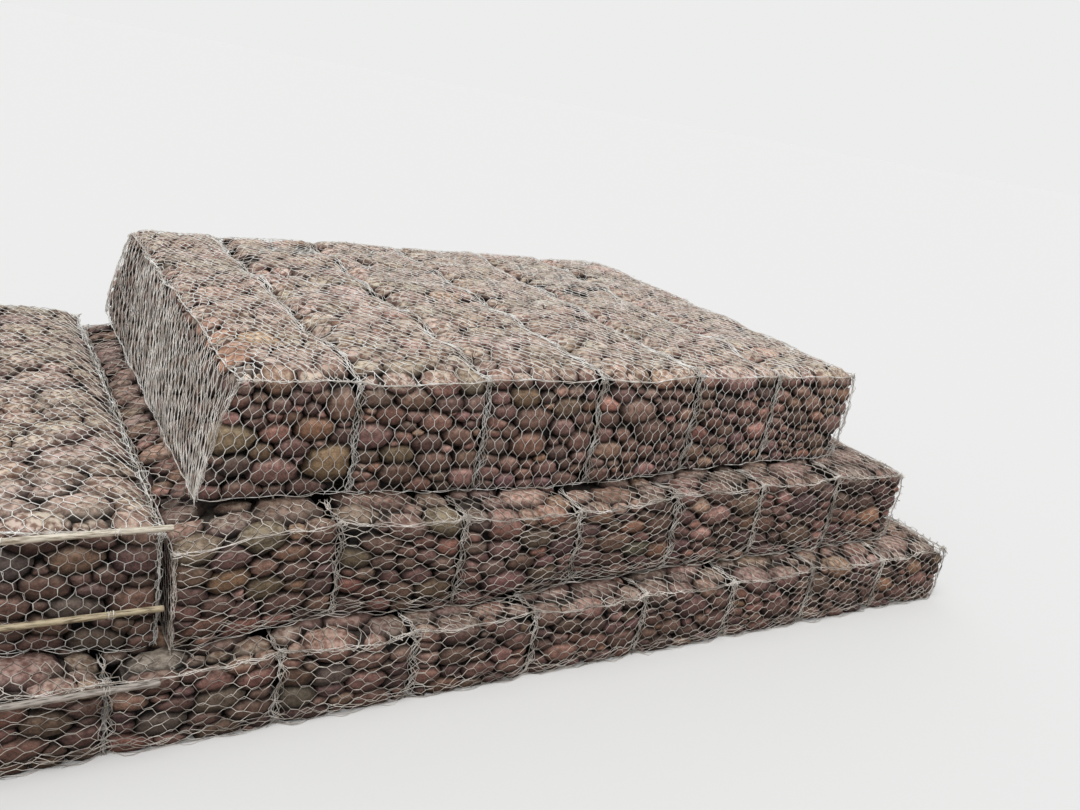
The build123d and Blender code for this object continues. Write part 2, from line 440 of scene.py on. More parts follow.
def pack_stones(low, high, patches, chosen, width, source):
    """Centres, radii and patches of cobbles that lie one deep behind the sides of a box.

    Lengths are in a space where a cobble is a ball, so they are divided by COBBLE_SHAPE.
    Each cobble starts at random on its patch and is pushed by the ones that it overlaps, a
    small one further than a large one, by the cube of their radii. It stays inside the box
    and touches the wall of its own patch. Large cobbles press further into the net, so that
    they show broad faces, and some of the others lie a little behind it."""
    low, high = low / COBBLE_SHAPE, high / COBBLE_SHAPE
    centres, radii, owner = [], [], []
    starts = [np.maximum(patch.low / COBBLE_SHAPE, low) for patch in patches]
    stops = [np.minimum(patch.high / COBBLE_SHAPE, high) for patch in patches]
    for index, (patch, own, start, stop) in enumerate(zip(patches, chosen, starts, stops)):
        size = np.maximum(stop - start, 0.02)
        size[patch.axis] = 1.0
        area = size.prod() - sum(np.pi / 4 * big ** 2 for _, big, _ in own)
        mean = width * (LID_WIDER if patch.axis == LID else 1.0)
        disc = np.pi / 4 * mean ** 2 * np.exp(2 * WIDTH_SPREAD ** 2)
        count = max(1, int(round(area / disc)))
        if own:
            centres.append(np.array([place / COBBLE_SHAPE for place, _, _ in own]))
            radii.append(np.array([big / 2 for _, big, _ in own]))
        # Widths stay within about two spreads of the mean
        spread = WIDTH_SPREAD * np.clip(source.normal(size=count), -1.9, 2.0)
        sizes = mean / 2 * np.exp(spread)
        inner = np.maximum(start, low + sizes[:, None])
        outer = np.maximum(np.minimum(stop, high - sizes[:, None]), inner)
        centres.append(inner + source.uniform(size=(count, 3)) * (outer - inner))
        radii.append(sizes)
        owner.append(np.full(len(own) + count, index))
    centres, radii, owner = np.concatenate(centres), np.concatenate(radii), np.concatenate(owner)
    walls = np.array([patch.axis for patch in patches])[owner]
    sides = np.array([patch.side for patch in patches])[owner]
    starts, stops = np.array(starts)[owner], np.array(stops)[owner]
    rows = np.arange(len(radii))
    reach = radii[:, None] + radii[None]
    share = radii[None] ** 3 / (radii[:, None] ** 3 + radii[None] ** 3)
    depths = np.minimum(radii, PRESSING_RADIUS + 0.30 * (radii - PRESSING_RADIUS))
    depths = depths + source.uniform(0, SET_BACK, len(radii)) * (radii < BOULDER_RADIUS)
    for _ in range(ROUNDS):
        gap = centres[:, None] - centres[None]
        distance = np.linalg.norm(gap, axis=2) + np.eye(len(radii)) * FAR
        push = np.maximum(reach * (1 - OVERLAP) - distance, 0) / distance * share
        centres += 0.9 * (gap * push[..., None]).sum(axis=1)
        lowest = np.maximum(starts, low + depths[:, None])
        highest = np.maximum(np.minimum(stops, high - depths[:, None]), starts)
        centres = np.clip(centres, np.minimum(lowest, highest), highest)
        centres[rows, walls] = np.where(sides > 0, high[walls] - depths, low[walls] + depths)
    return centres, radii, owner


def round_stones(centres, radii, members, ball, low, high, source):
    """Surface points of cobbles that press against one another.

    A cobble reaches, in each direction, to the softened nearest of the planes half-way to
    its neighbours, the walls of the box and its own ellipsoid. The softened nearest of
    lengths h is the sum of h to the power -n, to the power -1/n. Low waves make it uneven."""
    low, high = low / COBBLE_SHAPE, high / COBBLE_SHAPE
    own, own_radii = centres[members], radii[members][:, None]
    gap = centres[None] - own[:, None]
    distance = np.linalg.norm(gap, axis=2)
    distance[np.arange(len(members)), members] = FAR
    half = (distance ** 2 + own_radii ** 2 - radii[None] ** 2) / (2 * distance)
    nearest = np.argsort(half, axis=1)[:, :min(NEIGHBOURS, len(radii) - 1)]
    rows = np.arange(len(members))[:, None]
    ways = gap[rows, nearest] / distance[rows, nearest][..., None]
    # Nothing cuts nearer to a cobble's centre than about a third of its radius
    reach = np.maximum((1 + OVERLAP) * half[rows, nearest], 0.35 * own_radii)
    walls = np.concatenate([np.eye(3), -np.eye(3)])
    to_wall = np.concatenate([high - own, own - low], axis=1)
    ways = np.concatenate([ways, np.repeat(walls[None], len(members), axis=0)], axis=1)
    reach = np.concatenate([reach, np.maximum(to_wall, 0.3 * own_radii)], axis=1)
    cosine = np.einsum("ijk,mk->imj", ways, ball)
    nearness = np.maximum(cosine, 0) / reach[:, None]
    # Large cobbles lie lengthwise
    large = own_radii > LONG_RADIUS
    turn = source.uniform(0, np.pi, (len(members), 1)) * ~large
    stretch = np.exp(np.where(large, 0.20, 0.24 * source.normal(size=(len(members), 1))))
    long_way = (np.cos(turn) * ball[:, 0] + np.sin(turn) * ball[:, 1]) / stretch
    short_way = (np.cos(turn) * ball[:, 1] - np.sin(turn) * ball[:, 0]) * stretch
    tilt = ball[:, 2] * np.exp(0.10 * source.normal(size=(len(members), 1)))
    ellipsoid = np.sqrt(long_way ** 2 + short_way ** 2 + tilt ** 2) / (OWN_SIZE * own_radii)
    gauge = (nearness ** COBBLE_FLATNESS).sum(axis=2) + ellipsoid ** COBBLE_FLATNESS
    length = gauge ** (-1 / COBBLE_FLATNESS)
    lumps = source.normal(size=(len(members), 3, 3))
    phases = source.uniform(0, 6.3, (len(members), 1, 3))
    waves = np.sin(np.einsum("ijk,mk->imj", lumps, ball) * 1.7 + phases)
    length *= 0.98 + 0.06 * waves.mean(axis=2)
    return (own[:, None] + length[..., None] * ball[None]) * COBBLE_SHAPE


# Cobble colours, and how common each is
COBBLE_COLOURS = [("#836056", 0.26), ("#7b5c56", 0.22), ("#816755", 0.15), ("#916c50", 0.08),
                  ("#8a5d50", 0.10), ("#745355", 0.11), ("#96796d", 0.05), ("#67554f", 0.03)]
# How far the kinds are drawn together, and spread of the brightness and of each channel
TINT_MIX, LEVEL_SPREAD, HUE_SPREAD = 0.40, 0.34, 0.035
# Painted shade: nearly black colours of the core that stands for the deeper stones in shadow,
# on the sides and under the lid
PAINTED_SHADE_CORE_COLOUR, PAINTED_SHADE_CORE_LID_COLOUR = "#120f0e", "#241d1a"


def stone_tints(count, source, level):
    """A colour for each cobble: one of the kinds of stone, lighter or darker at random."""
    kinds = np.array([hex_linear(code) for code, _ in COBBLE_COLOURS])
    chances = np.array([chance for _, chance in COBBLE_COLOURS])
    tints = kinds[source.choice(len(kinds), count, p=chances / chances.sum())]
    tints = tints + TINT_MIX * (tints.mean(axis=0) - tints)
    tints = tints * np.exp(LEVEL_SPREAD * source.normal(size=(count, 1))) * level
    return tints * np.exp(HUE_SPREAD * source.normal(size=(count, 3)))


def painted_shade_core(low, high):
    """A lumpy closed box that stands for the deeper stones, which are painted dark as the shade
    among them: a grid over each side, moved by smooth waves."""
    steps = np.maximum(2, np.ceil((high - low) / CORE_STEP).astype(int))
    points, faces = [], []
    for axis in range(3):
        first, second = [a for a in range(3) if a != axis]
        for side in (0, 1):
            u, v = np.meshgrid(np.linspace(0, 1, steps[first] + 1),
                               np.linspace(0, 1, steps[second] + 1), indexing="ij")
            grid = np.zeros(u.shape + (3,))
            grid[..., first], grid[..., second], grid[..., axis] = u, v, side
            index = sum(len(p) for p in points) + np.arange(u.size).reshape(u.shape)
            quads = np.stack([index[:-1, :-1], index[1:, :-1], index[1:, 1:], index[:-1, 1:]],
                             axis=-1).reshape(-1, 4)
            # The corners of a face run anticlockwise as seen from outside
            outward = (side == 1) == (axis != 1)
            faces.append(quads if outward else quads[:, ::-1])
            points.append(grid.reshape(-1, 3))
    quads = np.concatenate(faces)
    points = low + np.concatenate(points) * (high - low)
    points = points + CORE_LUMPS * smooth_noise(points, 0.2, 5)
    return points, np.concatenate([quads[:, [0, 1, 2]], quads[:, [0, 2, 3]]])


def crevice(points, patches):
    """How deep in the gaps each point lies, which sets the painted shade there: 0 up to
    CREVICE_START inside the open sides, 1 from CREVICE_DEPTH on, and a smooth step between."""
    depths = [points[..., p.axis] - p.low[p.axis] if p.side < 0 else
              p.high[p.axis] - points[..., p.axis] for p in patches]
    deep = np.min(depths, axis=0) - CREVICE_START
    deep = np.clip(deep / (CREVICE_DEPTH - CREVICE_START), 0, 1)
    return deep * deep * (3 - 2 * deep)


def stone_piece(course, number, patches):
    """The cobbles of one bay as one joined mesh, with a core painted dark as shade behind them.

    Each point holds the colour of its stone and, as alpha, its silt. Both are darkened into the
    gaps as painted shade, and the silt also fades with depth below the lid, as an exponential."""
    low, high = course.bay_box(number)
    low, high = low + MESH_ROOM - SINK * Z, high - MESH_ROOM
    source = np.random.default_rng([7, number, *course.name.encode()])
    chosen = boulders(course, number, patches)
    centres, radii, owner = pack_stones(low, high, patches, chosen, course.width, source)
    tints = stone_tints(len(radii), source, course.level)
    # Painted shade from the nets over a patch darkens its cobbles
    tints *= np.array([patch.light for patch in patches])[owner][:, None]
    silted = source.uniform(0.70, 1.0, len(radii))
    for index, own in enumerate(chosen):
        if own:
            first = np.flatnonzero(owner == index)[:len(own)]
            silted[first] = BOULDER_SILT
            tints[first] = np.array([hex_linear(colour) for *_, colour in own]) * course.level
    detail = np.array([patch.detail for patch in patches])[owner]
    lid = any(patch.axis == LID for patch in patches)
    points, faces, colours, start = [], [], [], 0
    for level, (ball, triangles) in enumerate(BALLS):
        members = np.flatnonzero(detail == level)
        if not len(members):
            continue
        stones = round_stones(centres, radii, members, ball, low, high, source)
        stones[..., 2] = np.maximum(stones[..., 2], course.low[2] + RESTING)
        # Painted shade: the stones' colour and silt darken into the gaps between them
        deep = crevice(stones, patches)
        under = np.maximum(course.high[2] - stones[..., 2] - SILT_START, 0)
        cover = SIDE_SILT + (1 - SIDE_SILT) * np.exp(-under / SILT_FADE) * lid
        silt = course.silt * cover * silted[members][:, None] * (1 - PAINTED_GAP_SHADE_ON_SILT * deep)
        colour = tints[members][:, None] * (1 - PAINTED_GAP_SHADE * deep)[..., None]
        offsets = start + np.arange(len(members)) * len(ball)
        points.append(stones.reshape(-1, 3))
        colours.append(np.concatenate([colour, silt[..., None]], axis=2).reshape(-1, 4))
        faces.append((triangles[None] + offsets[:, None, None]).reshape(-1, 3))
        start += len(members) * len(ball)
    # The core is painted nearly black as shade among the deeper stones; under the lid a little
    # lighter, with some silt
    core_top = high - [CORE_DEPTH, CORE_DEPTH, CORE_UNDER_LID]
    core_points, core_faces = painted_shade_core(low + [CORE_DEPTH, CORE_DEPTH, SINK], core_top)
    dark = np.tile([*hex_linear(PAINTED_SHADE_CORE_COLOUR), 0.0], (len(core_points), 1))
    lid_points = core_points[:, 2] > core_top[2] - 0.03
    dark[lid_points] = [*hex_linear(PAINTED_SHADE_CORE_LID_COLOUR), CORE_SILT * course.silt]
    settled = np.clip(course.settle(np.concatenate(points + [core_points])), cad_low, cad_high)
    piece = add_piece(f"{course.name}_cobbles_{number + 1}", settled,
                      np.concatenate(faces + [core_faces + start]), cobble,
                      [f"{course.name}_stone_fill_{number + 1}"])
    tint = piece.data.color_attributes.new("stone_tint", "FLOAT_COLOR", "POINT")
    colours = np.concatenate(colours + [dark]).astype(np.float32)
    tint.data.foreach_set("color", colours.ravel())


def link(tree, node, links):
    """Links outputs, or the first outputs of nodes, to the inputs of a node."""
    for key, source in dict(links).items():
        tree.links.new(getattr(source, "outputs", [source])[0], node.inputs[key])


def add_node(tree, kind, settings=(), links=()):
    """Adds a shader node, sets its named properties or inputs, and links its inputs."""
    node = tree.nodes.new("ShaderNode" + kind)
    for key, value in dict(settings).items():
        if isinstance(key, str) and hasattr(node, key):
            setattr(node, key, value)
        else:
            node.inputs[key].default_value = value
    link(tree, node, links)
    return node


def new_material(name, roughness):
    """An empty material with its surface shader."""
    material = bpy.data.materials.new(name)
    material.use_nodes = True
    tree = material.node_tree
    shader = tree.nodes["Principled BSDF"]
    shader.inputs["Roughness"].default_value = roughness
    return material, tree, shader


def two_tone(tree, factor, dark, light, start, stop):
    """A ramp between two hex colours, from one value of its factor to another."""
    ramp = add_node(tree, "ValToRGB", {}, {"Fac": factor})
    low, high = ramp.color_ramp.elements
    low.position, high.position = start, stop
    low.color, high.color = [*hex_linear(dark), 1], [*hex_linear(light), 1]
    return ramp


# Patterns on the stones, as repeats a metre and levels of detail: grains of 12 mm, coarser
# than the real sand grains so that they show, mottling of 45 mm, patches of silt of 110 mm,
# and its change of hue over half a metre or so
STONE_PATTERNS = [(80.0, 6.0), (22.0, 4.0), (9.0, 5.0), (2.2, 3.0)]


def river_cobble():
    """Water-worn sandstone and quartzite: matt and rounded, with silt dried on what faces up."""
    material, tree, shader = new_material("river_cobble_silted", 0.8)
    place = add_node(tree, "TexCoord").outputs["Object"]
    tint = add_node(tree, "Attribute", {"attribute_name": "stone_tint"})
    grain, mottle, patches, hue = [
        add_node(tree, "TexNoise", {"Scale": scale, "Detail": detail}, {"Vector": place})
        for scale, detail in STONE_PATTERNS]
    normal = add_node(tree, "NewGeometry").outputs["Normal"]
    upward = add_node(tree, "SeparateXYZ", {}, {0: normal}).outputs["Z"]
    both = add_node(tree, "Math", {"operation": "ADD"}, {0: grain, 1: mottle})
    shade = add_node(tree, "MapRange",
                     {"From Min": 0.72, "From Max": 1.28, "To Min": 0.50, "To Max": 1.54},
                     {"Value": both})
    # Painted light and shade: faces that look up are painted lighter and undersides darker, as
    # light from above would leave them
    painted_top_light = add_node(tree, "MapRange",
                   {"From Min": -0.55, "From Max": 0.50, "To Min": 0.30, "To Max": 1.26},
                   {"Value": upward})
    level = add_node(tree, "Math", {"operation": "MULTIPLY"}, {0: shade, 1: painted_top_light})
    stone = add_node(tree, "VectorMath", {"operation": "SCALE"}, {0: tint, "Scale": level})
    # Dried silt: more on faces that look up, broken up by patches
    lift = add_node(tree, "Math", {"operation": "MULTIPLY_ADD", 1: 1.2, 2: -0.6},
                    {0: patches})
    dust = add_node(tree, "Math", {"operation": "ADD"}, {0: upward, 1: lift})
    cover = add_node(tree, "MapRange",
                     {"From Min": 0.05, "From Max": 0.85, "To Min": 0.0, "To Max": 0.9},
                     {"Value": dust})
    amount = add_node(tree, "Math", {"operation": "MULTIPLY"},
                      {0: cover, 1: tint.outputs["Alpha"]})
    # The silt is mottled, and pinkish in some places and grey in others
    silt = add_node(tree, "Mix", {"data_type": "RGBA", "blend_type": "MULTIPLY", 0: 1.0},
                    {6: two_tone(tree, mottle, "#917769", "#f6e7db", 0.42, 0.58),
                     7: two_tone(tree, hue, "#fff5f2", "#f5faea", 0.36, 0.64)})
    colour = add_node(tree, "Mix", {"data_type": "RGBA"},
                      {0: amount, 6: stone, 7: silt.outputs[2]})
    bump = add_node(tree, "Bump", {"Strength": 0.7, "Distance": 0.007}, {"Height": both})
    link(tree, shader, {"Base Color": colour.outputs[2], "Normal": bump})
    return material


def galvanised_wire(name, dark, light):
    """Drawn steel wire with a zinc coat that has gone dull and silty: pale grey, hardly shiny."""
    material, tree, shader = new_material(name, 0.6)
    shader.inputs["Metallic"].default_value = 0.2
    place = add_node(tree, "TexCoord").outputs["Object"]
    # Clean and silty stretches about 150 mm long
    silt = add_node(tree, "TexNoise", {"Scale": 6.0, "Detail": 4.0}, {"Vector": place})
    link(tree, shader, {"Base Color": two_tone(tree, silt, dark, light, 0.38, 0.60)})
    return material


def peeled_pole(name, dark, light):
    """A peeled and sun-bleached pole: satin wood with long grain along X and dirt in it."""
    material, tree, shader = new_material(name, 0.6)
    place = add_node(tree, "TexCoord").outputs["Object"]
    # Grain streaks about 10 mm wide and 80 mm long
    stretch = add_node(tree, "Mapping", {"Scale": (4.0, 32.0, 32.0)}, {"Vector": place})
    grain = add_node(tree, "TexNoise", {"Scale": 3.0, "Detail": 6.0}, {"Vector": stretch})
    bump = add_node(tree, "Bump", {"Strength": 0.4, "Distance": 0.002}, {"Height": grain})
    link(tree, shader, {"Base Color": two_tone(tree, grain, dark, light, 0.34, 0.56),
                        "Normal": bump})
    return material


cobble = river_cobble()
# One galvanised wire in three tones: the near-white copy on the top and wing stands in for wires in
# full light, and the darker muddy and silty copies are partly mud and silt, partly painted shade
dull_wire = galvanised_wire("galvanised_wire_dull", "#d2cac0", "#fffdf8")
muddy_shaded_wire = galvanised_wire("galvanised_wire_muddy", "#958b81", "#ece4d9")
silty_shaded_wire = galvanised_wire("galvanised_wire_silty", "#bab1a7", "#f8f2ea")
NET_WIRE = {"top": dull_wire, "wing": dull_wire, "middle": muddy_shaded_wire, "base": muddy_shaded_wire}


def tubes(paths, outward, radius):
    """Points and triangles of three-sided wires: each ring is a triangle round the path.

    paths and outward are arrays of wires by points by 3. A ring's corners lie one radius
    from the path, at 90, 210 and 330 degrees from sideways towards outward."""
    along = np.gradient(paths, axis=1)
    along /= np.linalg.norm(along, axis=2, keepdims=True) + 1e-12
    sideways = np.cross(along, outward)
    sideways /= np.linalg.norm(sideways, axis=2, keepdims=True) + 1e-12
    upward = np.cross(sideways, along)
    angles = np.radians([90, 210, 330])[:, None]
    ring = np.cos(angles) * sideways[:, :, None] + np.sin(angles) * upward[:, :, None]
    points = paths[:, :, None] + radius * ring
    wires, length = paths.shape[:2]
    index = np.arange(wires * length * 3).reshape(wires, length, 3)
    this, following = index[:, :-1], index[:, 1:]
    turn = np.roll(np.arange(3), -1)
    quads = np.stack([this, this[..., turn], following[..., turn], following], axis=-1)
    quads = quads.reshape(-1, 4)
    caps = np.concatenate([index[:, 0, ::-1], index[:, -1]])
    faces = np.concatenate([quads[:, [0, 2, 1]], quads[:, [0, 3, 2]], caps[:, ::-1]])
    return points.reshape(-1, 3), faces


def net_paths(width, length, cell):
    """Wires of a double-twist net in a flat panel: two arrays of wires by points.

    Wire w swings between the half-cell lines w and w + 1: on each row it lies in the twist
    on the line whose parity is the row's. The wires of a twist cross over within it."""
    columns = max(2, int(round(width / (cell[0] / 2))))
    half = width / columns
    rows = max(2, int(round(length / cell[1])))
    spacing = length / rows
    wires = np.arange(columns)
    levels = np.arange(rows + 1)
    line = wires[:, None] + (wires[:, None] + levels[None]) % 2
    side = np.where(line == wires[:, None], 1.0, -1.0)
    u = np.stack([line * half + side * TWIST_OFFSET, line * half - side * TWIST_OFFSET], axis=2)
    v = np.stack([levels * spacing - TWIST / 2, levels * spacing + TWIST / 2], axis=1)
    v = np.clip(np.repeat(v.reshape(1, -1), columns, axis=0), 0, length)
    return u.reshape(columns, -1), v


def stretched(start, end, outward):
    """The start, length and direction of the line between two points, and the way sideways."""
    start, end = np.array(start, float), np.array(end, float)
    length = np.linalg.norm(end - start)
    along = (end - start) / length
    return start, length, along, np.cross(along, outward)


class Wires:
    """Collects the wires of one piece, each placed in the neat box and settled with it."""

    def __init__(self, name, course):
        self.name = name
        self.course = course
        self.points = []
        self.faces = []
        self.count = 0

    def add(self, paths, outward, radius):
        """Adds wires along paths in the neat box, settled with it."""
        settled = self.course.settle(paths)
        points, faces = tubes(settled, np.broadcast_to(outward, paths.shape), radius)
        self.faces.append(faces + self.count)
        self.points.append(points)
        self.count += len(points)

    def gathered(self, points):
        """Points of the left end's nets, drawn towards its front foot: they move forward the
        more, the lower they lie, by up to GATHER as one less an exponential of the distance
        from the front. The back edge stays in place."""
        low, high = self.course.low, self.course.high
        front, behind = points[..., 1] - low[1], high[1] - points[..., 1]
        drop = (high[2] - points[..., 2]) / (high[2] - low[2])
        pull = GATHER * drop * (1 - np.exp(-np.maximum(front, 0) / 0.8)) * (1 - bell(behind, 0.9))
        return points - pull[..., None] * Y

    def panel(self, corner, across, along, outward, width, length, seed, cell=CELL,
              depth=NET_DEPTH, wander=1.0, radius=MESH_WIRE, gather=False, crowd=0.0,
              crumple=0.16):
        """A net on one side of the neat box. It strays within its plane by long and short
        waves and crumples at random, both in proportion to how loose the course is, and lies
        the given depth inside the box with shallow waves. Crowded cells move towards the first
        border by a share of their distance to it, times the cube of the part of the width
        that lies beyond them."""
        u, v = net_paths(width, length, cell)
        u = u - crowd * u * (1 - u / width) ** 3
        flat = np.array(corner) + u[..., None] * across + v[..., None] * along
        stray = smooth_noise(flat, 0.45, seed) * 0.6 + smooth_noise(flat, 1.3, seed + 50) * 1.4
        shake = np.random.default_rng(seed).normal(size=flat.shape)
        stray = (stray * wander + shake * crumple) * self.course.loose
        stray -= (stray @ outward)[..., None] * outward
        into = depth + 0.003 * smooth_noise(flat, 0.3, seed + 1)[..., :1]
        paths = flat + stray - into * outward
        self.add(self.gathered(paths) if gather else paths, outward, radius)

    def strands(self, start, end, outward, count, spread, seed, radius):
        """Wires that run loosely together between two points of the neat box: each strays
        sideways by smooth waves up to spread, and a third as far outwards."""
        start, length, along, sideways = stretched(start, end, outward)
        distances = np.linspace(0, length, max(3, int(length / STRAND_STEP)))
        source = np.random.default_rng(seed)
        off = spread * drift(count, distances, STRAND_WAVE, source)[..., None]
        out = spread / 3 * drift(count, distances, STRAND_WAVE, source)[..., None]
        line = start + distances[:, None] * along
        self.add(line + off * sideways + (out - NET_DEPTH) * outward, outward, radius)

    def curtain(self, count, seed):
        """Loose wires that hang side by side over the left end of a course, from its top edge
        to its foot: each slants a little and strays along the end by smooth waves."""
        low, high = self.course.low, self.course.high
        source = np.random.default_rng(seed)
        places = np.sort(source.uniform(low[1] + 0.02, high[1] - 0.02, count))
        distances = np.linspace(0, high[2] - low[2], 15)
        stray = 0.06 * drift(count, distances, 0.7, source)
        y = places[:, None] + stray + 0.25 * distances * source.uniform(-1, 1, (count, 1))
        x = low[0] - 0.002 + 0.004 * drift(count, distances, 0.3, source)
        z = np.broadcast_to(high[2] - distances, y.shape)
        paths = np.stack([x, np.clip(y, low[1], high[1]), z], axis=2)
        self.add(self.gathered(paths), -X, MESH_WIRE)

    def lacing(self, start, end, outward, seed, reach, pitch):
        """A wire wound round an edge: a helix about the line, with six points a turn, whose
        angle and width drift by smooth waves."""
        start, length, along, sideways = stretched(start, end, outward)
        distances = np.arange(0, length, pitch / 6)
        source = np.random.default_rng(seed)
        angle = distances / pitch * 2 * np.pi + 1.5 * drift(1, distances, 0.6, source)[0]
        size = reach * (1 + 0.4 * drift(1, distances, 0.3, source)[0])
        ring = np.cos(angle)[:, None] * sideways + np.sin(angle)[:, None] * outward
        line = start + distances[:, None] * along - LACING_DEPTH * outward
        self.add((line + size[:, None] * ring)[None], outward, LACING_WIRE)

    def tangle(self, place, outward, count, seed):
        """A knot of wire ends: closed loops whose three coordinates are waves of a turn,
        pressed flat against the side."""
        source = np.random.default_rng(seed)
        turn = np.linspace(0, 2 * np.pi, 13)
        waves = source.integers(1, 3, (count, 3, 1)) * turn + source.uniform(0, 6.3, (count, 3, 1))
        sizes = KNOT * source.uniform(0.5, 1.2, (count, 3, 1))
        loops = np.moveaxis(sizes * np.sin(waves), 1, 2)
        loops -= 0.6 * (loops @ outward)[..., None] * outward
        centre = np.array(place) + source.normal(size=(count, 1, 3)) * KNOT * 0.3
        self.add(centre + loops - KNOT_DEPTH * outward, outward, LACING_WIRE)

    def finish(self, nodes, wire):
        """Makes the piece. What strays out of the model's box is laid flat on it."""
        points = np.clip(np.concatenate(self.points), cad_low, cad_high)
        add_piece(self.name, points, np.concatenate(self.faces), wire, nodes)


def open_patches(course, number, tops):
    """The sides of a bay that show: front, back, ends, and the top or its ledges. The corners
    belong to the front and the back, and the edges of the lid to the sides."""
    low, high = course.bay_box(number)
    near = low[0] < NEAR_END
    patches = [Patch(FRONT, -1, low, high, FINE if near else MEDIUM),
               Patch(FRONT, 1, low, high, COARSE)]
    row, end_row = CORNER_ROW * Y, CORNER_ROW * X
    inner_low, inner_high = low + row, high - row
    if number == 0:
        # The top's left end takes the painted shade of the loose wires over it
        light = CURTAIN_PAINTED_SHADE if course is top else 1.0
        patches.append(Patch(ENDS, -1, inner_low, inner_high, COARSE, light))
        inner_low = inner_low + end_row
    if number == course.bays - 1:
        patches.append(Patch(ENDS, 1, low + row, inner_high, COARSE))
        inner_high = inner_high - end_row
    for x0, y0, x1, y1 in tops:
        start = np.maximum(inner_low, [x0, y0, low[2]])
        stop = np.minimum(inner_high, [x1, y1, high[2]])
        if np.all(stop[:2] - start[:2] > 0.02):
            patches.append(Patch(LID, 1, start, stop, MEDIUM))
    return patches


# The cells of each course's side nets, and how far they crowd towards the foot
SIDE_NETS = {"top": {}, "wing": {"cell": WING_CELL}, "middle": {"cell": MIDDLE_CELL, "crowd": 0.58},
             "base": {"cell": BASE_CELL, "crowd": 0.58}}
# The nets over the tops lie loosely: how far they stray and crumple, to suit their course
TOP_NETS = {"top": {"wander": 2.2, "crumple": 0.50}, "wing": {"wander": 1.6, "crumple": 0.30},
            "middle": {}, "base": {}}


def side_net(course, upright, nodes):
    """Nets over the front, back and ends of a course, in one piece. On the front and back
    the cells stand upright or lie, with loose wires near the foot of those that lie."""
    low, high = course.low, course.high
    size = high - low
    kind = SIDE_NETS[course.name]
    net = Wires(f"{course.name}_side_net", course)
    for seed, (corner, outward) in enumerate(((low, -Y), ((low[0], high[1], low[2]), Y))):
        if upright:
            net.panel(corner, X, Z, outward, size[0], size[2], 20 + seed, **kind)
        else:
            net.panel(corner, Z, X, outward, size[2], size[0], 30 + seed, **kind)
            start = corner + 0.09 * Z
            net.strands(start, start + size[0] * X, outward, 2, 0.06, 50 + seed, LACING_WIRE)
    net.panel((high[0], low[1], low[2]), Y, Z, X, size[1], size[2], 41)
    if course is not top:
        net.panel(low, Y, Z, -X, size[1], size[2], 40)
    net.finish(nodes, NET_WIRE[course.name])


def end_net(course):
    """Two nets over the left end, pulled long and narrow, with loose wires on them."""
    net = Wires(f"{course.name}_end_net", course)
    size = course.high - course.low
    for seed in (44, 46):
        net.panel(course.low, Y, Z, -X, size[1], size[2] - 0.04, seed, CURTAIN_CELL, depth=0.004,
                  wander=3.0, radius=LACING_WIRE, gather=True, crumple=0.50)
    net.curtain(10, 45)
    # The left end's nets take the darker wire, partly silt and partly painted shade
    net.finish([], silty_shaded_wire)


def top_net(course, name, regions):
    """Nets over the parts of a course's top that show, each from x0 to x1 and from y0 to y1."""
    net = Wires(name, course)
    for seed, (x0, x1, y0, y1) in enumerate(regions):
        net.panel((x0, y0, course.high[2]), X, Y, Z, x1 - x0, y1 - y0, 60 + seed, radius=LID_WIRE,
                  **TOP_NETS[course.name])
    net.finish([], NET_WIRE[course.name])


def top_nets():
    """The lid of each bay of the top course and the wing, and the nets over the ledges."""
    for course in (top, wing):
        bays = zip(course.seams[:-1], course.seams[1:])
        top_net(course, f"{course.name}_lid_net",
                [(start, end, course.low[1], course.high[1]) for start, end in bays])
    top_net(middle, "middle_ledge_net",
            [(middle.low[0], middle.high[0], middle.low[1], top.low[1]),
             (middle.low[0], top.low[0] + 0.03, top.low[1], middle.high[1]),
             (top.high[0], middle.high[0], top.low[1], middle.high[1])])
    top_net(base, "base_ledge_net",
            [(base.low[0], wing.high[0], base.low[1], wing.low[1]),
             (wing.high[0], base.high[0], base.low[1], middle.low[1]),
             (base.low[0], wing.low[0], wing.low[1], base.high[1]),
             (middle.high[0], base.high[0], middle.low[1], base.high[1])])


# How far the wires of a bundle stray: at the ends of a course, at its diaphragms and over
# its lid
END_BUNDLE, SEAM_BUNDLE, LID_BUNDLE = 0.018, 0.050, 0.026
# How far the wires along a neat and along a loose edge stray
NEAT_EDGE, LOOSE_EDGE = 0.010, 0.034
# How wide the lacing winds round a seam and round an edge, and the length of a turn
SEAM_LACING = {"reach": 0.013, "pitch": 0.12}
EDGE_LACING = {"reach": 0.010, "pitch": 0.22}
# How far the bundles of the ends, and the wires along the front and the back, lie in
END_INSET, EDGE_INSET = 0.010, 0.004
# The lids of the lower courses show on their ledges only, so their bundles end here
LEDGE_BUNDLE = 0.42


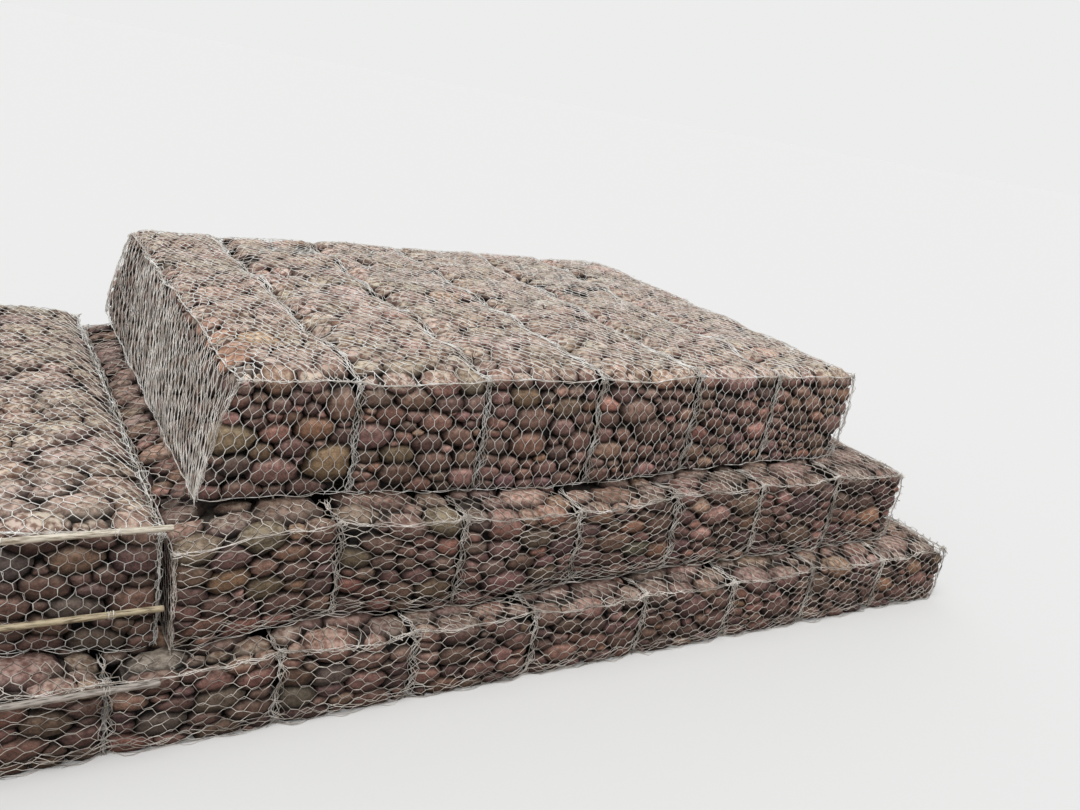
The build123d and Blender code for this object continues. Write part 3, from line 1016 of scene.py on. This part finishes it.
def edges_and_seams(course, lid_seams):
    """The selvedge wires along a course's edges, and the laced bundles at its diaphragms."""
    wires = Wires(f"{course.name}_edge_wires", course)
    low, high = course.low, course.high
    for seed, x in enumerate(course.seams):
        outer = x in (low[0], high[0])
        x += END_INSET * (int(x == low[0]) - int(x == high[0]))
        for y, outward in ((low[1], -Y), (high[1], Y)):
            foot, head = (x, y, low[2]), (x, y, high[2])
            strand_seed = 100 + 7 * seed + int(outward[1])
            count, spread = (3, END_BUNDLE) if outer else (6, SEAM_BUNDLE)
            wires.strands(foot, head, outward, count, spread, strand_seed, LACING_WIRE)
            wires.lacing(foot, head, outward, strand_seed, **SEAM_LACING)
            wires.tangle(head - 0.03 * Z, outward, 3, strand_seed)
            wires.tangle(head, Z, 2, strand_seed + 1)
        reach = high[1] if lid_seams or outer else low[1] + LEDGE_BUNDLE
        wires.strands((x, low[1], high[2]), (x, reach, high[2]), Z, 1 if outer else 4,
                      LID_BUNDLE, 140 + seed, EDGE_WIRE)
    for seed, (y, outward) in enumerate(((low[1], -Y), (high[1], Y))):
        y -= EDGE_INSET * outward[1]
        for z, up in ((high[2], Z), (low[2], -Z)):
            start, end = (low[0], y, z), (high[0], y, z)
            spread = NEAT_EDGE if lid_seams and z == high[2] else LOOSE_EDGE
            wires.strands(start, end, up, 2, spread, 160 + seed, MESH_WIRE)
            if z == high[2]:
                wires.lacing(start, end, up, 170 + seed, **EDGE_LACING)
    for x in (low[0], high[0]):
        for z, up in ((high[2], Z), (low[2], -Z)):
            wires.strands((x, low[1], z), (x, high[1], z), up, 2, NEAT_EDGE, 180, EDGE_WIRE)
    # The lower courses' edge wires take the darker wire, partly silt and partly painted shade
    wires.finish([f"{course.name}_cage_wires"], dull_wire if course in (top, wing) else silty_shaded_wire)


# Bracing poles: their dark and light colours, and their bend as a share of the radius
POLES = {"upper": ("#8f7f69", "#ece2d0", 0.05), "middle": ("#6f604c", "#cbbb9b", -0.04),
         "lower": ("#585049", "#b9b0a6", 0.05)}
# Turns of wire in a lashing, and how many lashings hold a pole
LASHING_TURNS = 3.5
LASHINGS = 3


def pole_surface(node, bend, seed):
    """Points and triangles of a peeled pole inside its node's box.

    A grid of turn and distance: the radius swells at knots about 0.3 m apart, by a bell
    curve, and varies by low waves. The middle line bends by half a sine wave. The ends
    round off and close in a point."""
    low, high = node_box(node)
    radius = (high[2] - low[2]) / 2
    middle_line = (low + high) / 2
    length = high[0] - low[0]
    source = np.random.default_rng(seed)
    share = np.concatenate([[0, 0, 0.003], np.linspace(0.008, 0.992, 70), [0.997, 1, 1]])
    cap = np.array([0, 0.80, 0.95] + [1.0] * 70 + [0.95, 0.80, 0])
    distances = share * length
    places = np.arange(0.17, length, 0.31) + source.uniform(-0.04, 0.04)
    knots = np.sum([bell(distances - place, 0.022) for place in places], axis=0)
    girth = radius * cap * (0.95 + 0.04 * knots + 0.01 * drift(1, distances, 0.5, source)[0])
    turn = np.linspace(0, 2 * np.pi, 15)[:-1]
    y = middle_line[1] + girth[:, None] * np.cos(turn)
    z = middle_line[2] + girth[:, None] * np.sin(turn)
    z = z + bend * (np.sin(np.pi * share) - 0.6)[:, None] * radius
    x = np.repeat((low[0] + distances)[:, None], len(turn), axis=1)
    index = np.arange(x.size).reshape(x.shape)
    around = np.roll(index, -1, axis=1)
    quads = np.stack([index[:-1], around[:-1], around[1:], index[1:]], axis=-1).reshape(-1, 4)
    points = np.stack([x, y, z], axis=-1).reshape(-1, 3)
    return points, np.concatenate([quads[:, [0, 1, 2]], quads[:, [0, 2, 3]]])


def pole_piece(level, seed):
    """One bracing pole, with its ends closed and its normals outwards."""
    dark, light, bend = POLES[level]
    node = f"bracing_pole_{level}"
    points, faces = pole_surface(node, bend, seed)
    piece = add_piece(f"{level}_pole", points, faces,
                      peeled_pole(f"peeled_pole_{level}", dark, light), [node])
    shape = bmesh.new()
    shape.from_mesh(piece.data)
    bmesh.ops.remove_doubles(shape, verts=shape.verts, dist=1e-6)
    bmesh.ops.dissolve_degenerate(shape, dist=1e-6, edges=shape.edges)
    bmesh.ops.recalc_face_normals(shape, faces=shape.faces)
    shape.to_mesh(piece.data)
    shape.free()


def lashing_piece(level, seed):
    """Wire lashings: helices of a few turns round a pole, which drift along it by a wave."""
    low, high = node_box(f"bracing_pole_{level}")
    radius = (high[2] - low[2]) / 2 + LACING_WIRE
    centre = (low + high) / 2
    span = (high[0] - low[0]) / LASHINGS
    source = np.random.default_rng(seed)
    turn = np.linspace(0, LASHING_TURNS * 2 * np.pi, 46)
    size = radius * (1 + 0.02 * np.sin(turn * 0.7))
    paths = []
    for number in range(LASHINGS):
        place = low[0] + (number + 0.5) * span
        x = place + 0.018 * np.sin(turn * 0.31 + source.uniform(0, 6)) + 0.004 * np.cos(turn)
        paths.append(np.stack([x, centre[1] + size * np.cos(turn),
                               centre[2] + size * np.sin(turn)], axis=1))
    paths = np.array(paths)
    outward = (paths - centre) * [0, 1, 1]
    points, faces = tubes(paths, outward, LACING_WIRE)
    add_piece(f"{level}_pole_wire_turns", np.clip(points, cad_low, cad_high), faces,
              dull_wire, [f"pole_lashings_{level}"])


# The whole wall
for course, tops in ((top, whole), (middle, middle_ledges), (wing, whole), (base, base_ledges)):
    for number in range(course.bays):
        stone_piece(course, number, open_patches(course, number, tops))
side_net(top, True, ["top_front_mesh_1", "top_front_mesh_2"])
end_net(top)
side_net(middle, False, [])
side_net(wing, True, [])
side_net(base, False, [])
top_nets()
for course, lid_seams in ((top, True), (middle, False), (wing, True), (base, False)):
    edges_and_seams(course, lid_seams)
for seed, level in enumerate(POLES):
    pole_piece(level, seed)
    lashing_piece(level, seed)

# Tones of the empty background, of the floor as the camera sees it, and of the ground that
# it stands for, which throws less light back
BACKDROP = "#ecedec"
FLOOR_PAPER = "#efeeec"
BARE_GROUND = "#9a8f86"
# The colour of the light from all round, and strengths of it and of the sun
SKY = "#f0f3f6"
SKY_STRENGTH, SUN_STRENGTH = 0.53, 1.80
# Width of the sun, and how it is turned, in degrees
SUN_WIDTH, SUN_TURN = 50, (20, -16, 0)
# The floor runs this far each way
FLOOR_REACH = 400


def studio():
    """A pale floor, soft light from all round, and a wide sun at the upper left in front."""
    far = FLOOR_REACH
    mesh = bpy.data.meshes.new("floor")
    mesh.from_pydata([(-far, -far, 0), (far, -far, 0), (far, far, 0), (-far, far, 0)], [],
                     [(0, 1, 2, 3)])
    floor = add_object("floor", mesh)
    material, tree, shader = new_material("floor_paper", 0.9)
    shader.inputs["Specular IOR Level"].default_value = 0.1
    rays = add_node(tree, "LightPath")
    paper = add_node(tree, "Mix",
                     {"data_type": "RGBA", 6: [*hex_linear(BARE_GROUND), 1],
                      7: [*hex_linear(FLOOR_PAPER), 1]}, {0: rays.outputs["Is Camera Ray"]})
    link(tree, shader, {"Base Color": paper.outputs[2]})
    mesh.materials.append(material)
    floor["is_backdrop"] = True
    world = bpy.data.worlds.new("soft_sky")
    bpy.context.scene.world = world
    world.use_nodes = True
    tree = world.node_tree
    light = tree.nodes["Background"]
    light.inputs[0].default_value = [*hex_linear(SKY), 1]
    light.inputs[1].default_value = SKY_STRENGTH
    backdrop = add_node(tree, "Background",
                        {"Color": [*hex_linear(BACKDROP), 1], "Strength": 1.0})
    rays = add_node(tree, "LightPath")
    shown = rays.outputs["Is Camera Ray"]
    for kind in ("Is Glossy Ray", "Is Transmission Ray"):
        shown = add_node(tree, "Math", {"operation": "MAXIMUM"}, {0: shown, 1: rays.outputs[kind]})
    mix = add_node(tree, "MixShader", {}, {0: shown, 1: light, 2: backdrop})
    link(tree, tree.nodes["World Output"], {"Surface": mix})
    lamp = bpy.data.lights.new("soft_sun", "SUN")
    lamp.energy = SUN_STRENGTH
    lamp.angle = np.radians(SUN_WIDTH)
    add_object("soft_sun", lamp).rotation_euler = np.radians(SUN_TURN)


studio()

# Camera: worked out from the seams, edges and horizon of the photograph, in bays. Its
# angles are in degrees, and its focal length and the photograph's width in pixels.
CAMERA_YAW = 33.24
CAMERA_PITCH = 18.23
CAMERA_ROLL = 10.16
CAMERA_FOCAL = 959.2
PHOTO_WIDTH = 1080
SENSOR = 36.0
# From the corner of the regular bays, at the edge wires of the top of the wall
CAMERA_PLACE = np.array([-1.512, -5.941, 2.114])


def photo_camera():
    """The camera: turned right by yaw, down by pitch, then rolled about its own axis."""
    yaw, pitch, roll = np.radians([CAMERA_YAW, CAMERA_PITCH, CAMERA_ROLL])
    turn = (Matrix.Rotation(-yaw, 4, "Z") @ Matrix.Rotation(np.pi / 2 - pitch, 4, "X") @
            Matrix.Rotation(roll, 4, "Z"))
    lens = bpy.data.cameras.new("photo_view")
    lens.sensor_width = SENSOR
    lens.lens = CAMERA_FOCAL / PHOTO_WIDTH * SENSOR
    lens.clip_end = 300
    camera = add_object("photo_view", lens)
    corner = np.array([FIRST, top.low[1], top.edge_level])
    camera.matrix_world = Matrix.Translation(corner + CAMERA_PLACE) @ turn
    bpy.context.scene.camera = camera


photo_camera()
bpy.context.scene.view_settings.view_transform = "Standard"
